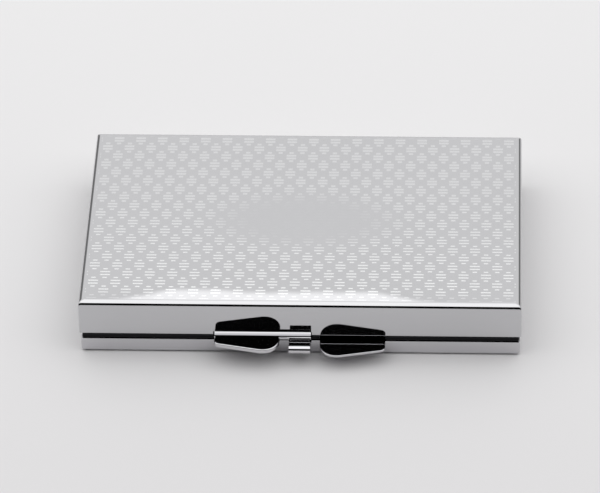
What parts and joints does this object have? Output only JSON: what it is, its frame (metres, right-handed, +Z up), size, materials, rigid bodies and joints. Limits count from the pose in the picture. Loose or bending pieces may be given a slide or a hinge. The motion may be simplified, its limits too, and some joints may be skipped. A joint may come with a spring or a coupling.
{
  "type": "business card case",
  "caption": "Slim chrome-plated box for business cards, with a hinged patterned lid, a shallow base, and a sprung push-apart clasp between two thumb tabs.",
  "frame": {"origin": "centre of the case's flat underside", "axes": "+X to the right, seen from the clasp side, along the width; +Y away from the clasp, towards the hinge; +Z up out of the lid"},
  "size_m": [0.095, 0.0659, 0.0139],
  "materials": {
    "chrome": "polished",
    "etched_chrome": "polished, with an etched pattern of dashes and dots on the top",
    "satin_nickel": "satin",
    "spring_steel": "satin",
    "steel": "bright"
  },
  "bodies": {
    "base": {"base_shell": "chrome", "base_frame": "satin_nickel", "base_liner": "satin_nickel", "base_tab": "chrome", "base_tab_rivets": "steel", "catch_root": "chrome", "catch_rivets": "steel", "base_hinge_leaf": "chrome", "base_hinge_rivets": "steel", "hinge_pin": "steel"},
    "lid": {"lid_shell": "etched_chrome", "lid_frame": "satin_nickel", "lid_liner": "satin_nickel", "lid_clasp": "chrome", "lid_clasp_rivets": "steel", "lid_hinge_leaf": "chrome", "lid_hinge_rivets": "steel", "card_spring_root": "spring_steel", "card_spring_rivets": "steel"},
    "catch": {"catch_tongue": "chrome"},
    "card_spring": {"card_spring_leaf": "spring_steel"}
  },
  "joints": [
    {"name": "lid_hinge", "type": "hinge", "parent": "base", "child": "lid", "pos_m": [0, 0.0294, 0.00473], "axis": [-1, 0, 0], "range_deg": [0, 120]},
    {"name": "catch_flex", "type": "hinge", "parent": "base", "child": "catch", "pos_m": [0, -0.029, 0.0034], "axis": [1, 0, 0], "range_deg": [0, 8], "stiffness_Nm_per_rad": 0.02},
    {"name": "card_spring_flex", "type": "hinge", "parent": "lid", "child": "card_spring", "pos_m": [0, 0.01995, 0.01265], "axis": [-1, 0, 0], "range_deg": [0, 4], "stiffness_Nm_per_rad": 0.5}
  ]
}
